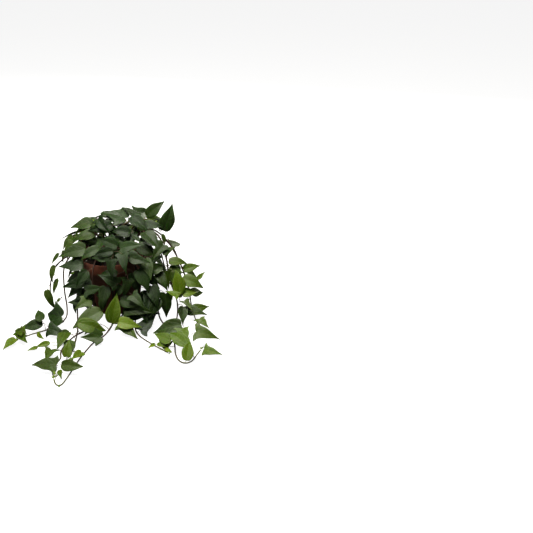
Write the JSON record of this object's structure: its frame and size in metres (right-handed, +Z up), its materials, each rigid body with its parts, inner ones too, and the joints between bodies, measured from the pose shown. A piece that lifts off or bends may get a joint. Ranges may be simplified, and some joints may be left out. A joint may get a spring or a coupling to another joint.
{
  "type": "potted english ivy",
  "caption": "Small-leaved trailing ivy in a round plastic nursery pot of soil; leafy stems spill over the rim and trail on the surface around the pot.",
  "frame": {"origin": "centre of the pot's underside, on the surface that the pot stands on", "axes": "+Z up along the pot's axis; -Y towards the front, where the longest stems trail on the surface; +X to the right of a viewer in front"},
  "size_m": [0.3647, 0.4364, 0.1898],
  "materials": {
    "pot": "satin",
    "soil": "matte",
    "leaf": "satin",
    "young_leaf": "satin"
  },
  "bodies": {
    "root": {"pot": "pot", "soil": "soil", "vine_left_chain": "leaf", "vine_left_front": "young_leaf", "vine_left_rim": "leaf", "vine_front_long": "young_leaf", "vine_front_left": "leaf", "vine_front_short": "leaf", "vine_front_right": "leaf", "vine_right_front": "young_leaf", "vine_right_high": "leaf", "vine_right_side": "young_leaf", "vine_crown_right": "leaf", "vine_crown_middle": "leaf", "vine_crown_left": "leaf", "vine_crown_front": "leaf", "vine_back_left": "leaf", "vine_back_centre_left": "leaf", "vine_back_centre": "leaf", "vine_back_centre_right": "leaf", "vine_back_right": "leaf", "vine_crown_back_left": "leaf", "vine_crown_back_right": "leaf", "vine_side_left": "leaf", "vine_side_right": "leaf"}
  },
  "joints": []
}
